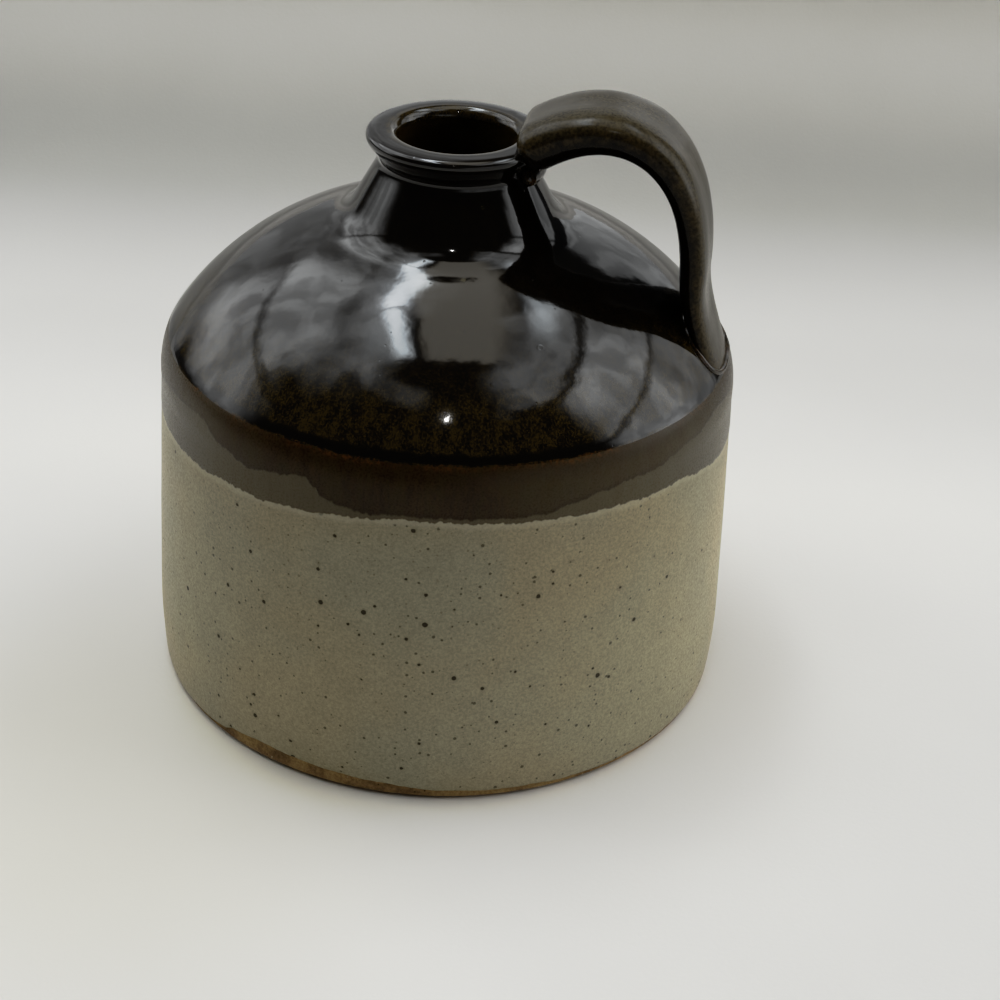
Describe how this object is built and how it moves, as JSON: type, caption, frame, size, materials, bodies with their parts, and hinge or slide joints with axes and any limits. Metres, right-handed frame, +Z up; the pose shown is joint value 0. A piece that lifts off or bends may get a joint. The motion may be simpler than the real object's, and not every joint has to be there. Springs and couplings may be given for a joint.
{
  "type": "stoneware jug",
  "caption": "Squat stoneware crock jug with a narrow rolled mouth and a strap handle, dark glaze dipped over a pale speckled one.",
  "frame": {"origin": "centre of the base, on the plane the jug stands on", "axes": "+Z up along the turning axis and out of the mouth, +X towards the strap handle, +Y to the left of the handle seen from the mouth"},
  "size_m": [0.1264, 0.1264, 0.1309],
  "materials": {
    "bare_clay": "unglazed fired stoneware, matt tan with fine grit",
    "brown_glaze": "deep gloss, near-black brown breaking to rust on edges",
    "ash_glaze": "soft semi-gloss grey-beige with dark iron specks",
    "liner_glaze": "dark brown gloss inside"
  },
  "bodies": {
    "root": {"lower_body": "bare_clay", "shoulder_dome": "bare_clay", "rolled_lip": "bare_clay", "strap_handle": "brown_glaze", "upper_wad": "brown_glaze", "tail_bead": "brown_glaze", "ash_glaze": "ash_glaze", "brown_glaze": "brown_glaze", "liner_glaze": "liner_glaze"}
  },
  "joints": []
}
